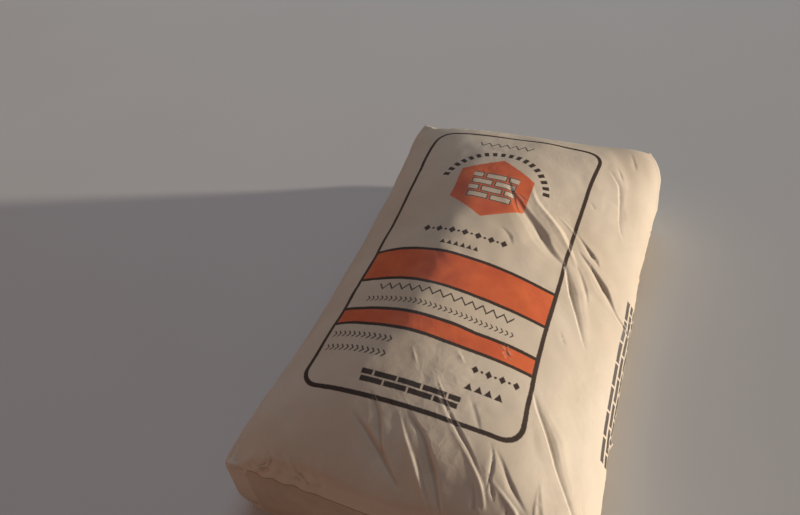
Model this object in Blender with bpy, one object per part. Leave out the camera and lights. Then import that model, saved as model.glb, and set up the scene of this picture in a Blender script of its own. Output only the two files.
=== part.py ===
"""A full 50 kg cement bag: a pasted block-bottom paper sack lying on its back, with a patch over each folded end.

Units are metres and +Z is up. The sack lies along Y on the floor at Z = 0, and the origin is under its middle.
"""

import math

import bmesh
import bpy
import numpy as np

# The filled sack, measured between its end folds and over its fullest section
SACK_LENGTH = 0.654
SACK_WIDTH = 0.408
SACK_HEIGHT = 0.176

# The folded block bottom at each end
END_WIDTH = 0.396
END_HEIGHT = 0.125
END_LIFT = 0.003
END_FOLD_RADIUS = 0.006

# The filled section: how high its widest line lies, how far its ridge leans, and how square each part is
BELLY_HEIGHT = 0.050
RIDGE_SHIFT = -0.038
CROWN_SQUARENESS = 1.64
END_SQUARENESS = 6.2
FOOT_SQUARENESS = 3.0
FOOT_PRESSED = 0.006

# The share of its half length over which the sack lies flat on the floor, before its ends lift
FOOT_FLAT = 0.6

# How suddenly the filled section gives way to the flat end
HEIGHT_FALLOFF = 5.7
SECTION_FALLOFF = 2.6
WIDTH_FALLOFF = 2.1

# The strip pasted over the folds of each end, drawn in from the end's sides and from its top and bottom folds
PATCH_SIDE_MARGIN = 0.033
PATCH_FOLD_MARGIN = 0.018
PATCH_THICKNESS = 0.0012
PATCH_CORNER_RADIUS = 0.006
PASTE_GAP = 0.0003

# The tube's long creases lie at this share of the way round the paper from the middle of the printed side
CREASE = 0.25

# How far the sack's own fold lines stand out of the filled shape: at each upper corner of the block bottoms, at the
# joint where that corner's diagonal meets the long crease, at the lower corners and along the middle of the long crease
FAR_RIGHT_CORNER = 0.011
FAR_RIGHT_JOINT = 0.011
FAR_LEFT_CORNER = 0.001
FAR_LEFT_JOINT = 0.003
NEAR_RIGHT_CORNER = 0.003
NEAR_RIGHT_JOINT = 0.007
NEAR_LEFT_CORNER = -0.003
NEAR_LEFT_JOINT = 0.005
CORNERS = {
    (1, 1): (FAR_RIGHT_CORNER, FAR_RIGHT_JOINT),
    (-1, 1): (FAR_LEFT_CORNER, FAR_LEFT_JOINT),
    (1, -1): (NEAR_RIGHT_CORNER, NEAR_RIGHT_JOINT),
    (-1, -1): (NEAR_LEFT_CORNER, NEAR_LEFT_JOINT),
}
UNDER_CORNER = 0.003
MIDDLE_CREASE = 0.001
MIDDLE_CREASE_SHARE = 0.42
CREASE_REACH = 0.060
CREASE_CURVE = 1.15

# The long folds of the printed side. Each is a line of places, as a share of the way round the paper from the middle of
# that side and a share of the half length, with the fold's depth and width as shares of the deepest and widest. The
# paper dips at the line, rises steeply on the right and gently on the left. A negative depth turns that upside down.
FOLD_DEPTH = 0.006
FOLD_WIDTH = 0.017
FOLDS = [
    ([(0.015, 0.457), (0.048, 0.355), (0.082, 0.259), (0.124, 0.186)], 0.90, 1.00),
    ([(0.138, 0.277), (0.171, 0.211), (0.203, 0.156), (0.240, 0.060), (0.262, 0.036)], 0.75, 0.75),
    ([(0.127, 0.198), (0.148, 0.060), (0.167, -0.042), (0.180, -0.168)], 0.80, 0.75),
    ([(-0.088, -0.704), (-0.046, -0.791), (-0.016, -0.851), (0.020, -0.938)], 0.55, 0.75),
    ([(-0.004, -0.704), (0.012, -0.764), (0.038, -0.842), (0.066, -0.992)], 0.60, 0.75),
    ([(0.126, -0.439), (0.150, -0.580), (0.190, -0.770), (0.203, -0.890)], -0.75, 0.80),
]

# A fold's cross section: where it is, in widths from its line, and how high, in depths
FOLD_PROFILE_AT = (-2.4, -0.8, 0.0, 1.8)
FOLD_PROFILE_HEIGHT = (0.0, 0.45, -1.0, 0.0)
FOLD_FADE = 0.40
FOLD_TIP = 0.35

# How finely the solids are divided. The folds show in the half of the paper that lies above the long creases. The
# points of the other half crowd towards its sides, and the rings crowd towards the sack's ends.
OUTLINE_POINTS = 200
UPPER_POINTS = 48
UNDER_POINTS = 26
UNDER_CROWDING = 0.3
BODY_RINGS = 47
END_CROWDING = 0.2
FOLD_STEPS = 3
CORNER_SEGMENTS = 3
SHARP_ANGLE = math.radians(50)
TINY = 1e-9

PAPER_COLOUR = (0.62, 0.50, 0.37)
PATCH_COLOUR = (0.55, 0.43, 0.31)
PAPER_ROUGHNESS = 0.62


def clear_scene():
    for item in list(bpy.data.objects):
        bpy.data.objects.remove(item, do_unlink=True)


def paper_material(name, colour):
    material = bpy.data.materials.new(name)
    material.use_nodes = True
    shader = material.node_tree.nodes["Principled BSDF"]
    shader.inputs["Base Color"].default_value = (*colour, 1.0)
    shader.inputs["Roughness"].default_value = PAPER_ROUGHNESS
    shader.inputs["Metallic"].default_value = 0.0
    return material


def crowded(count, crowding):
    """Numbers from -1 to 1 that lie closer together towards both ends."""
    steps = np.linspace(-1, 1, count)
    return (1 + crowding) * steps - crowding * steps**3


def section(place):
    """The filled section's outline at a place along the sack, as dense (x, z) points from the bottom's middle round."""
    end_share = abs(place) / (SACK_LENGTH / 2)
    fullness = 1 - end_share**HEIGHT_FALLOFF
    roundness = 1 - end_share**SECTION_FALLOFF
    half_width = END_WIDTH / 2 + (SACK_WIDTH - END_WIDTH) / 2 * (1 - end_share**WIDTH_FALLOFF)
    lift = END_LIFT * max(0.0, (end_share - FOOT_FLAT) / (1 - FOOT_FLAT)) ** 2
    end_top = END_LIFT + END_HEIGHT
    top = end_top + (SACK_HEIGHT - end_top) * fullness
    squareness = 1 / (1 / END_SQUARENESS + (1 / CROWN_SQUARENESS - 1 / END_SQUARENESS) * roundness)

    turn = np.linspace(0, math.pi / 2, OUTLINE_POINTS)
    foot_x = half_width * np.sin(turn) ** (2 / FOOT_SQUARENESS)
    foot_z = BELLY_HEIGHT - (BELLY_HEIGHT + FOOT_PRESSED - lift) * np.cos(turn) ** (2 / FOOT_SQUARENESS)
    foot_z = np.maximum(foot_z, lift)
    crown_x = half_width * np.cos(turn) ** (2 / squareness)
    crown_z = BELLY_HEIGHT + (top - BELLY_HEIGHT) * np.sin(turn) ** (2 / squareness)

    right_x = np.concatenate([foot_x, crown_x[1:]])
    right_z = np.concatenate([foot_z, crown_z[1:]])
    x = np.concatenate([right_x, -right_x[-2::-1]])
    z = np.concatenate([right_z, right_z[-2::-1]])
    leaning = np.where(z > BELLY_HEIGHT, RIDGE_SHIFT * (1 - (x / half_width) ** 2) * fullness, 0.0)
    return x + leaning, z


def follow(places, points):
    """How far each place lies from a line, with a sign for its side, and how far along the line, with its length."""
    nearest = np.full(len(places), np.inf)
    signed = np.zeros(len(places))
    run = np.zeros(len(places))
    start = 0.0
    for first, second in zip(points, points[1:]):
        span = math.dist(first, second)
        way = (second - first) / span
        offset = places - first
        along = np.clip(offset @ way, 0, span)
        away = offset - along[:, None] * way
        far = np.hypot(away[:, 0], away[:, 1])
        side = np.where(offset[:, 0] * way[1] < offset[:, 1] * way[0], -1, 1)
        closer = far < nearest
        nearest = np.where(closer, far, nearest)
        signed = np.where(closer, far * side, signed)
        run = np.where(closer, start + along, run)
        start += span
    return signed, run, start


def crease_lines():
    """The tube's long creases and the diagonals of its block bottoms, as (points in shares, how far each stands out)."""
    round_end = 2 * (END_WIDTH + END_HEIGHT)
    meeting = 1 - END_HEIGHT / SACK_LENGTH
    lines = []
    for side in (-1, 1):
        places = (-meeting, -MIDDLE_CREASE_SHARE, MIDDLE_CREASE_SHARE, meeting)
        heights = (CORNERS[side, -1][1], MIDDLE_CREASE, MIDDLE_CREASE, CORNERS[side, 1][1])
        lines.append(([(side * CREASE, place) for place in places], heights))
        for end in (-1, 1):
            corner_height, meeting_height = CORNERS[side, end]
            joint = (side * CREASE, end * meeting)
            corner = (side * END_WIDTH / 2 / round_end, end)
            under = (side * (END_WIDTH / 2 + END_HEIGHT) / round_end, end)
            lines.append(([corner, joint], (corner_height, meeting_height)))
            lines.append(([under, joint], (UNDER_CORNER, meeting_height)))
    return lines


def crease_height(places, scale):
    """How far the sack's own fold lines raise each place of the paper."""
    lowest = np.zeros(len(places))
    highest = np.zeros(len(places))
    for points, heights in crease_lines():
        points = np.array(points) * scale
        signed, run, _ = follow(places, points)
        stops = np.concatenate([[0.0], np.cumsum(np.linalg.norm(np.diff(points, axis=0), axis=1))])
        height = np.interp(run, stops, heights) * np.clip(1 - abs(signed) / CREASE_REACH, 0, 1) ** CREASE_CURVE
        lowest = np.minimum(lowest, height)
        highest = np.maximum(highest, height)
    return lowest + highest


def fold_height(places, points, depth, width):
    """How far one fold raises each place of the paper. The fold is widest and deepest half way along."""
    signed, run, whole = follow(places, points)
    share = run / whole
    taper = np.clip(share / FOLD_FADE, 0, 1) * np.clip((1 - share) / FOLD_FADE, 0, 1)
    taper = taper * (2 - taper)
    spread = width * (FOLD_TIP + (1 - FOLD_TIP) * taper)
    return depth * taper * np.interp(signed / spread, FOLD_PROFILE_AT, FOLD_PROFILE_HEIGHT)


def ring_points(place):
    """One section's points, close together over the printed side, with the folds standing out of it."""
    x, z = section(place)
    run = np.concatenate([[0.0], np.cumsum(np.hypot(np.diff(x), np.diff(z)))])
    upper = np.linspace(CREASE, 1 - CREASE, UPPER_POINTS, endpoint=False)
    under = 1 + CREASE * crowded(UNDER_POINTS + 1, UNDER_CROWDING)[:-1]
    shares = np.concatenate([upper, under % 1.0])
    stops = shares * run[-1]

    scale = np.array([run[-1], SACK_LENGTH / 2])
    places = np.stack([0.5 - shares, np.full(len(shares), 2 * place / SACK_LENGTH)], 1) * scale
    height = crease_height(places, scale)
    for points, depth, width in FOLDS:
        height += fold_height(places, np.array(points) * scale, depth * FOLD_DEPTH, width * FOLD_WIDTH)

    way_x = np.interp(stops, run, np.gradient(x, run))
    way_z = np.interp(stops, run, np.gradient(z, run))
    steep = np.maximum(np.hypot(way_x, way_z), TINY)
    ring_x = np.interp(stops, run, x) + height * way_z / steep
    ring_z = np.interp(stops, run, z) - height * way_x / steep
    return ring_x, np.maximum(ring_z, z.min())


def add_ring(mesh, place, along, inset):
    """One ring of the sack: the section at a place, drawn in by an inset and set at a distance along Y."""
    x, z = ring_points(place)
    ring = bmesh.ops.create_circle(mesh, cap_ends=False, radius=1.0, segments=len(x))["verts"]
    middle_z = (z.max() + z.min()) / 2
    width_share = 1 - inset / (x.max() - x.min()) * 2
    height_share = 1 - inset / (z.max() - z.min()) * 2
    for vertex, across, up in zip(ring, x, z):
        vertex.co = (across * width_share, along, middle_z + (up - middle_z) * height_share)
    return [edge for edge in mesh.edges if edge.verts[0] in ring and edge.verts[1] in ring]


def add_fold_rings(mesh, side):
    """The rings that turn the paper round one end fold, from the body towards the end face."""
    fold_centre = SACK_LENGTH / 2 - END_FOLD_RADIUS
    rings = []
    for step in range(1, FOLD_STEPS + 1):
        turn = math.pi / 2 * step / FOLD_STEPS
        along = side * (fold_centre + END_FOLD_RADIUS * math.sin(turn))
        inset = END_FOLD_RADIUS * (1 - math.cos(turn))
        rings.append(add_ring(mesh, side * fold_centre, along, inset))
    return rings


def make_object(name, mesh, material):
    data = bpy.data.meshes.new(name)
    mesh.to_mesh(data)
    mesh.free()
    data.materials.append(material)
    item = bpy.data.objects.new(name, data)
    bpy.context.scene.collection.objects.link(item)
    return item


def make_sack():
    """The paper sack full of cement, lofted through its sections, closed by its two flat ends and centred.

    It gives how far the sack is moved along X to centre it, because its folds stand out further on one side.
    """
    mesh = bmesh.new()
    near = add_fold_rings(mesh, -1)[::-1]
    places = (SACK_LENGTH / 2 - END_FOLD_RADIUS) * crowded(BODY_RINGS, END_CROWDING)
    body = [add_ring(mesh, place, place, 0.0) for place in places]
    far = add_fold_rings(mesh, 1)
    rings = [*near, *body, *far]
    for first, second in zip(rings, rings[1:]):
        bmesh.ops.bridge_loops(mesh, edges=[*first, *second])
    bmesh.ops.contextual_create(mesh, geom=rings[0])
    bmesh.ops.contextual_create(mesh, geom=rings[-1])
    bmesh.ops.recalc_face_normals(mesh, faces=mesh.faces)
    across = [vertex.co.x for vertex in mesh.verts]
    shift = -(max(across) + min(across)) / 2
    bmesh.ops.translate(mesh, vec=(shift, 0, 0), verts=mesh.verts)
    sack = make_object("sack", mesh, paper_material("sack_paper", PAPER_COLOUR))
    sack.data.shade_smooth()
    sack.data.set_sharp_from_angle(angle=SHARP_ANGLE)
    return shift


def make_patch(name, side, shift):
    """One pasted strip: a thin sheet with rounded corners, standing on the end face with the paste's gap behind it."""
    length = END_WIDTH - 2 * PATCH_SIDE_MARGIN
    height = END_HEIGHT - 2 * PATCH_FOLD_MARGIN
    mesh = bmesh.new()
    bmesh.ops.create_cube(mesh, size=1.0)
    bmesh.ops.scale(mesh, vec=(length, PATCH_THICKNESS, height), verts=mesh.verts)
    corners = [edge for edge in mesh.edges if abs(edge.verts[0].co.y - edge.verts[1].co.y) > PATCH_THICKNESS / 2]
    bmesh.ops.bevel(
        mesh,
        geom=corners,
        offset=PATCH_CORNER_RADIUS,
        affect="EDGES",
        segments=CORNER_SEGMENTS,
        profile=0.5,
        material=-1,
    )
    patch = make_object(name, mesh, paper_material(name + "_paper", PATCH_COLOUR))
    away = SACK_LENGTH / 2 + PASTE_GAP + PATCH_THICKNESS / 2
    patch.location = (shift, side * away, END_LIFT + END_HEIGHT / 2)


clear_scene()
ends_shift = make_sack()
make_patch("near_end_patch", -1, ends_shift)
make_patch("far_end_patch", 1, ends_shift)
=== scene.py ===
"""A filled 50 kg cement bag: creased paper around its solid core, a printed face and a patch on each end.

Units are metres and +Z is up. The bag lies along Y with its near end towards -Y. Paper coordinates are
metres on the unfolded sack: across from the middle of the printed face, positive to the right, and along
towards the far end.
"""

import math

import bmesh
import bpy
import numpy as np
from bpy.props import FloatProperty, FloatVectorProperty, IntProperty, PointerProperty
from mathutils import Matrix, Vector, noise
from mathutils.bvhtree import BVHTree


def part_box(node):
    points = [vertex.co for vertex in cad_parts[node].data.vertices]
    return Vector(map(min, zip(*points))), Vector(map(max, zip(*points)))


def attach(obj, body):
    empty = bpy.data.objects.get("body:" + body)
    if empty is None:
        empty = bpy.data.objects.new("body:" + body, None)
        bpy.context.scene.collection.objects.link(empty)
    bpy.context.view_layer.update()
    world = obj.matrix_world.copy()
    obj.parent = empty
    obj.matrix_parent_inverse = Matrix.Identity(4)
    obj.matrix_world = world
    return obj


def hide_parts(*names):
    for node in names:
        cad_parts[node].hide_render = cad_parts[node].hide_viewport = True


bl_info = {
    "name": "Cement Bag",
    "version": (1, 0, 0),
    "blender": (4, 5, 0),
    "location": "3D View > Sidebar > Cement Bag",
    "description": "Models a filled paper cement bag with its printed face, end patches and studio",
    "category": "Add Mesh",
}

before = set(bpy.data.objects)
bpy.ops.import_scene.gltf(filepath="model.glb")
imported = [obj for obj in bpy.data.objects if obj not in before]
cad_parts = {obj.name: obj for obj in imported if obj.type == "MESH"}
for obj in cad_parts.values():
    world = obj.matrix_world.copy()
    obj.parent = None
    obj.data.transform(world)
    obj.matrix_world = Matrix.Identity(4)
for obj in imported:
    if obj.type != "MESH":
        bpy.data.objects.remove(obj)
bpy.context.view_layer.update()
SACK_LOW, SACK_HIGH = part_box("sack")
PATCH_LOW, PATCH_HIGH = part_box("near_end_patch")
ENDS_MIDDLE = (PATCH_LOW + PATCH_HIGH) / 2
MM = 0.001
TINY = 1e-6


def length(name, description, default):
    """A size in metres that the sidebar shows."""
    return FloatProperty(name=name, description=description, default=default, unit="LENGTH", precision=4)


def ratio(name, description, default):
    """A plain number that the sidebar shows."""
    return FloatProperty(name=name, description=description, default=default, precision=3)


def power(name, description, default):
    """A light's power in watts that the sidebar shows."""
    return FloatProperty(name=name, description=description, default=default, unit="POWER")


def tint(name, description, default):
    """A colour that the sidebar shows."""
    return FloatVectorProperty(
        name=name, description=description, default=default, subtype="COLOR", size=3, min=0.0, max=1.0
    )


class FilledShape(bpy.types.PropertyGroup):
    """The shape that the cement gives the sack."""

    long: length("Length", "From one end face to the other", SACK_HIGH.y - SACK_LOW.y)
    wide: length("Width", "Over the fullest section, without the long creases", 0.408)
    high: length("Height", "Floor to ridge", SACK_HIGH.z - SACK_LOW.z)
    end_wide: length("End width", "Width of the folded block bottom", 0.396)
    end_high: length("End height", "Height of the folded block bottom", 0.125)
    end_lift: length("End lift", "How far the block bottom stands off the floor", 0.003)
    foot_flat: ratio("Foot flat", "Share of the half length over which the sack lies flat on the floor", 0.6)
    end_bulge: length("End bulge", "How far the cement pushes out the middle of an end", 0.006)
    belly: length("Belly height", "Height of the widest line of the section", 0.050)
    ridge_shift: length("Ridge shift", "How far the ridge leans, positive to the right", -0.038)
    foot_pressed: length("Foot pressed", "Depth of the section's foot that the floor takes away", 0.006)
    crown_squareness: ratio("Crown squareness", "Exponent of the section's upper curve at mid length", 1.64)
    end_squareness: ratio("End squareness", "Exponent of the section's upper curve at the ends", 6.2)
    foot_squareness: ratio("Foot squareness", "Exponent of the section's lower curve", 3.0)
    height_falloff: ratio("Height falloff", "How late the height drops towards an end", 5.7)
    section_falloff: ratio("Section falloff", "How late the section squares up towards an end", 2.6)
    width_falloff: ratio("Width falloff", "How late the width drops towards an end", 2.1)


class SackPaper(bpy.types.PropertyGroup):
    """The sack's paper: its unfolded sizes, its mesh and the way it creases."""

    wide: length("Paper width", "Flat width of the printed face between its long folds", 0.378)
    deep: length("Paper depth", "Flat depth of a side and of the block bottom", 0.122)
    long: length("Paper length", "Flat length between the end folds", 0.665)
    cell: length("Cell", "Edge of one mesh cell of the simulated paper", 0.006)
    hold: ratio("Hold", "How firmly the cement holds the paper in place", 0.14)
    face_hold: ratio("Face hold", "How much more firmly the printed side is held", 0.9)
    hold_variation: ratio("Hold variation", "How much the hold changes from place to place", 3.0)
    stiffness: ratio("Bending stiffness", "How hard the paper resists bending", 5.0)
    lumps: length("Lumps", "Height of the lumps in the cement under the paper", 0.0014)
    slack: length("Slack", "The furthest that the paper may lie from the cement", 0.016)
    crispness: ratio("Crispness", "How much the simulated wrinkles are sharpened", 0.8)
    tautness: ratio("Tautness", "Share of the paper's broad sag that the cement pushes back out", 0.85)
    colour: tint("Paper colour", "Semi-bleached kraft paper", (0.62, 0.50, 0.37))
    # The dust colour is also the colour of the painted shade in the valleys of the paper's creases.
    dust_and_shade_colour: tint("Dust colour", "Cement dust in the folds and on the lower sides", (0.30, 0.26, 0.22))
    steps: IntProperty(name="Steps", description="Frames of the simulation", default=22, min=2)


class PrintedFace(bpy.types.PropertyGroup):
    """The print on the sack, in paper coordinates."""

    centre: length("Centre", "Middle of the printed frame across the paper", -0.003)
    wide: length("Frame width", "Between the middles of the frame's long lines", 0.261)
    bottom: length("Frame bottom", "Where the frame's lower line lies along the sack", -0.2335)
    top: length("Frame top", "Where the frame's upper line lies along the sack", 0.2815)
    corner: length("Frame corner", "Radius of the frame's corners", 0.025)
    line: length("Frame line", "Width of the frame's line", 0.0058)
    rule: length("Rule", "Width of the lines beside the bands", 0.0048)
    badge: length("Badge", "Half width of the hexagonal badge", 0.055)
    badge_along: length("Badge place", "Where the middle of the badge lies along the sack", 0.139)
    orange: tint("Orange ink", "Bands and badge", (0.72, 0.15, 0.045))
    brown: tint("Brown ink", "Frame, rules and ornament", (0.046, 0.026, 0.016))


class EndPatch(bpy.types.PropertyGroup):
    """The paper strip pasted over the folds of each end."""

    long: length("Length", "Across the end", PATCH_HIGH.x - PATCH_LOW.x)
    high: length("Height", "Up the end", PATCH_HIGH.z - PATCH_LOW.z)
    thick: length("Thickness", "Paper and paste", 0.0006)
    corner: length("Corner", "Radius of the strip's corners", 0.006)
    paste: length("Paste", "Gap between the strip and the sack", 0.0003)
    cell: length("Cell", "Edge of one mesh cell", 0.0035)
    colour: tint("Patch colour", "Unbleached kraft paper", (0.50, 0.38, 0.27))


class Studio(bpy.types.PropertyGroup):
    """Floor and lights."""

    floor_size: length("Floor size", "Edge of the floor", 12.0)
    floor_colour: tint("Floor colour", "Plain pale floor", (0.70, 0.68, 0.65))
    key_strength: ratio("Key strength", "Strength of the key light", 4.8)
    key_spread: FloatProperty(
        name="Key spread", description="Angle of its disc", default=0.064, subtype="ANGLE"
    )
    key_colour: tint("Key colour", "Warm key light", (1.0, 0.93, 0.82))
    sky_power: power("Sky power", "Power of the sky light", 45.0)
    sky_size: length("Sky size", "Edge of the sky light", 3.0)
    sky_colour: tint("Sky colour", "Cool light from above", (0.55, 0.80, 1.0))
    glow_power: power("Glow power", "Power of the glow light", 11.0)
    glow_size: length("Glow size", "Edge of the glow light", 3.0)
    glow_colour: tint("Glow colour", "Warm light from the near left", (1.0, 0.42, 0.32))
    fill_colour: tint("Fill colour", "Soft light from all round", (1.0, 0.76, 0.68))
    fill_strength: ratio("Fill strength", "Strength of the soft light from all round", 0.130)


# Where the lights stand, seen from the bag. Of the key light, whose rays are parallel, only the direction
# counts.
KEY_PLACE = Vector((0.950, 0.30, 0.088))
SKY_PLACE = Vector((-0.15, 0.60, 0.80)).normalized() * 5.0
GLOW_PLACE = Vector((-0.60, -0.70, 0.40)).normalized() * 4.0

# The camera, seen from the floor under the middle of the bag's ends, for a picture of 800 by 515 pixels
FOCAL_PIXELS = 651.7
PICTURE_WIDTH = 800
SENSOR_WIDTH = 36.0
CAMERA_PLACE = Vector((0.1795, -0.5593, 0.7592))
CAMERA_LOOK = Vector((-0.3209, 0.6360, -0.7018))
CAMERA_RIGHT = Vector((0.9288, 0.3563, -0.1019))
CAMERA_UP = Vector((-0.1852, 0.6845, 0.7051))

# How the paper is simulated, in how many frames the cement fills it, and how high the floor holds it
CLOTH_SETTINGS = {
    "quality": 8,
    "mass": 0.1,
    "bending_model": "ANGULAR",
    "tension_stiffness": 60.0,
    "compression_stiffness": 60.0,
    "shear_stiffness": 30.0,
    "tension_damping": 8.0,
    "compression_damping": 8.0,
    "shear_damping": 8.0,
    "vertex_group_mass": "held",
    "pin_stiffness": 20.0,
}
FILLING_FRAMES = 8
FLOOR_BAND = 0.004

# The firmly held part of the printed face: its middle across, its half sizes and how fast the hold fades
FIRM_MIDDLE = 0.010
FIRM_ACROSS = 0.29
FIRM_ALONG = 0.335
FADE_ACROSS = 0.06
FADE_ALONG = 0.04
HOLD_PATCHES = 9.0
HOLD_START = Vector((3.1, 7.7, 1.3))

# How many times the mesh is smoothed to find the paper's broad sag and its sharp wrinkles
BROAD_PASSES = 60
SHARP_PASSES = 3

# The scales of the cement's wide and small lumps, and how high the small ones are beside the wide ones
WIDE_LUMPS = 14.0
SMALL_LUMPS = 40.0
SMALL_SHARE = 0.5

# Blender's vector noise starts from the clock unless it is seeded. The lumps, the crumple and the folds'
# wander read it.
NOISE_SEED = 7

# How far the sack's own fold lines stand out once it is full, in millimetres. For each corner, as its side
# and end: the corner of the block bottom, and the place where its diagonal meets the tube's long crease.
CORNERS = {(1, 1): (11.0, 11.0), (-1, 1): (1.0, 3.0), (1, -1): (3.0, 7.0), (-1, -1): (-3.0, 5.0)}
UNDER_CORNER = 3.0
MIDDLE_CREASE = 1.0
MIDDLE_CREASE_REACH = 0.14
CREASE_REACH = 0.060
CREASE_CURVE = 1.15
CREASE_LINE = (0.15, 0.005)
END_CRISPNESS = 0.7
CREASE_CRISPNESS = 1.0

# The pasted seam of the tube, on the underside: its place across the paper, its width and its edge's
SEAM_PLACE = 0.412
SEAM_WIDTH = 0.025
SEAM_EDGE = 0.0006

# Broad swells and hollows of the cement, as (place on the paper, height in millimetres, reach each way)
SWELLS = [
    ((0.125, -0.205), 3.6, (0.050, 0.085)),
    ((0.020, 0.150), 1.5, (0.060, 0.080)),
    ((0.135, 0.150), -2.6, (0.045, 0.080)),
    ((0.118, -0.055), 1.6, (0.040, 0.070)),
    ((0.128, 0.270), 1.5, (0.032, 0.045)),
]

# The folds of the printed side, as (points on the paper, depth, width), all in millimetres. A fold is a
# sharp valley, steep on its left and gentle on its right seen along its points, and with a negative depth it
# is a ridge of that shape.
FACE_FOLDS = [
    ([(20, 150), (32, 134), (51, 112), (83, 85), (106, 61), (134, 46)], 4.5, 20),
    ([(46, 168), (55, 146), (72, 127), (96, 110), (124, 85), (146, 58)], -4.6, 22),
    ([(94, 133), (119, 121), (135, 108)], -1.2, 5),
    ([(6, 180), (24, 145), (37, 116), (50, 98)], 1.4, 8),
    ([(30, 143), (39, 137), (52, 130)], 0.9, 4),
    ([(26, 71), (43, 59), (52, 41)], 1.0, 9),
    ([(132, 116), (148, 105), (158, 98), (171, 89), (178, 80)], 3.6, 7.5),
    ([(140, 90), (164, 73), (176, 64), (194, 50), (210, 34), (222, 26)], 5.2, 10),
    ([(205, 36), (220, 25), (233, 20), (250, 16), (264, 10)], 2.4, 4.5),
    ([(184, -62), (164, -20), (152, -2), (141, 23), (131, 46), (126, 60)], 5.2, 10),
    ([(139, 70), (166, 32), (176, 5)], 1.4, 7),
    ([(219, 149), (192, 164), (183, 206), (171, 235), (161, 244), (137, 262)], 1.5, 7),
    ([(158, 315), (172, 295), (186, 274)], 0.8, 6),
    ([(150, 275), (160, 262), (174, 245)], 0.8, 5),
    ([(134, 184), (149, 173)], 0.7, 4),
    ([(143, -52), (148, -58), (160, -74)], 0.8, 3.5),
    ([(206, -298), (180, -247), (168, -226), (154, -199), (139, -175), (128, -156)], 5.0, 9),
    ([(-58, -251), (-31, -272), (-15, -284), (3, -299), (17, -310)], 4.2, 14),
    ([(-44, -228), (-28, -245), (-20, -265), (-8, -290)], 3.6, 8),
    ([(-6, -237), (6, -258), (24, -285), (42, -310), (55, -325)], -2.4, 10),
    ([(3, -236), (19, -250), (30, -259), (42, -281), (54, -302), (66, -324)], 4.8, 10),
    ([(15, -176), (32, -202), (45, -220), (70, -247), (90, -275), (97, -284)], 2.2, 3.5),
    ([(66, -252), (75, -263), (90, -280), (101, -295), (108, -312)], -1.8, 5),
    ([(94, -236), (102, -253), (104, -272), (102, -290)], 1.6, 4),
    ([(101, -244), (112, -257), (123, -274), (133, -284), (146, -296)], 2.0, 7),
    ([(104, -276), (111, -283), (123, -290), (137, -300), (146, -318)], -1.8, 6),
    ([(101, -276), (106, -284), (113, -298)], 1.6, 3),
    ([(85, -284), (94, -300), (98, -318)], 1.4, 4),
    ([(125, -292), (128, -312), (136, -328)], 1.6, 5),
    ([(58, -191), (71, -205), (80, -224), (86, -238)], 0.8, 8),
    ([(-115, -312), (-93, -334), (-66, -365)], -2.6, 7),
    ([(-165, -316), (-155, -331), (-138, -330), (-140, -310)], -2.2, 4),
    ([(72, -116), (102, -129)], 0.9, 3.5),
    ([(80, -102), (96, -137)], 0.8, 3),
    ([(30, -138), (50, -163)], -0.7, 3.5),
    ([(17, -182), (40, -208)], -0.7, 3.5),
    ([(-18, -156), (0, -184)], -0.7, 3.5),
]

# A fold's cross section: where it is, in widths from its line, and how high, in depths. Along its length it
# is widest at its peak, and it starts and ends as narrow as its tip. Its line has its corners cut, so many
# times and at that share of each stretch.
FOLD_PROFILE_AT = (-2.6, -1.3, -0.5, 0.0, 0.4, 1.0, 1.9, 3.0)
FOLD_PROFILE_HEIGHT = (0.0, 0.16, 0.22, -1.0, -0.42, 0.05, 0.16, 0.0)
FOLD_PEAK = 0.62
FOLD_TIP = 0.30
CORNER_CUTS = 2
CUT_SHARE = 0.25

# The folds that a seeded rule places, with the bounds of their sizes. Those of the ends leave out a stretch
# on the near end (-1) and on the far end (1), where the printed side's own folds are.
FOLD_SEED = 7
SCATTERED_WIDTH = (4, 8)
END_FOLD_PLACES = np.linspace(-0.30, 0.30, 25)
END_FOLD_GAP = {-1: (-0.20, 0.14), 1: (-0.20, 0.27)}
END_FOLD_MARGIN = 0.004
END_FOLD_SHIFT = (-0.01, 0.01)
END_FOLD_REACH = (0.03, 0.10)
END_FOLD_SLANT = (-0.35, 0.35)
END_FOLD_DEPTH = (0.5, 1.6)
SIDE_FOLD_PLACES = np.linspace(0.03, 0.27, 8)
SIDE_FOLD_START = (0.235, 0.255)
SIDE_FOLD_REACH = (0.03, 0.06)
SIDE_FOLD_DRIFT = (-0.05, 0.05)
SIDE_FOLD_DEPTH = (0.8, 2.0)

# The crumple of the whole sack: its height in millimetres, its facets' size, its layers as (size, share),
# the depth of a valley, how the facets sway, and how the crumple comes in patches
CRUMPLE = 1.25
CRUMPLE_FACET = 0.032
CRUMPLE_LAYERS = ((1.0, 0.65), (0.45, 0.35))
CRUMPLE_VALLEY = 0.5
CRUMPLE_SWAY = 0.35
CRUMPLE_SWAY_SCALE = 30.0
CRUMPLE_PATCHES = 7.0
CRUMPLE_LEVEL = 0.15
CRUMPLE_CONTRAST = 2.5
CRUMPLE_LEAST = 0.15

# How far the folds wander from their lines, and the height over the floor at which the relief is full
WANDER = 0.0018
WANDER_SCALE = 22.0
WANDER_SLICE = 0.4
RELIEF_RISE = 0.02

# The edges of the flaps that are folded over each other on the ends: their step, and how far it is spread
FLAP_STEP = 0.8
FLAP_BLUR = 0.0016
FLAP_ZONE = 0.005

# Where the mesh is finer or coarser than elsewhere: the least relief that a fine cell shows, in millimetres,
# the underside's reach, and the cell for which the bend is measured that marks scuffed ridges and the painted
# shade of the valleys
FINE_RELIEF = 0.05
UNDERSIDE = 0.006
FULL_CELL = 0.003


# How many points each quarter of a section's outline has
SECTION_POINTS = 200


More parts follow.
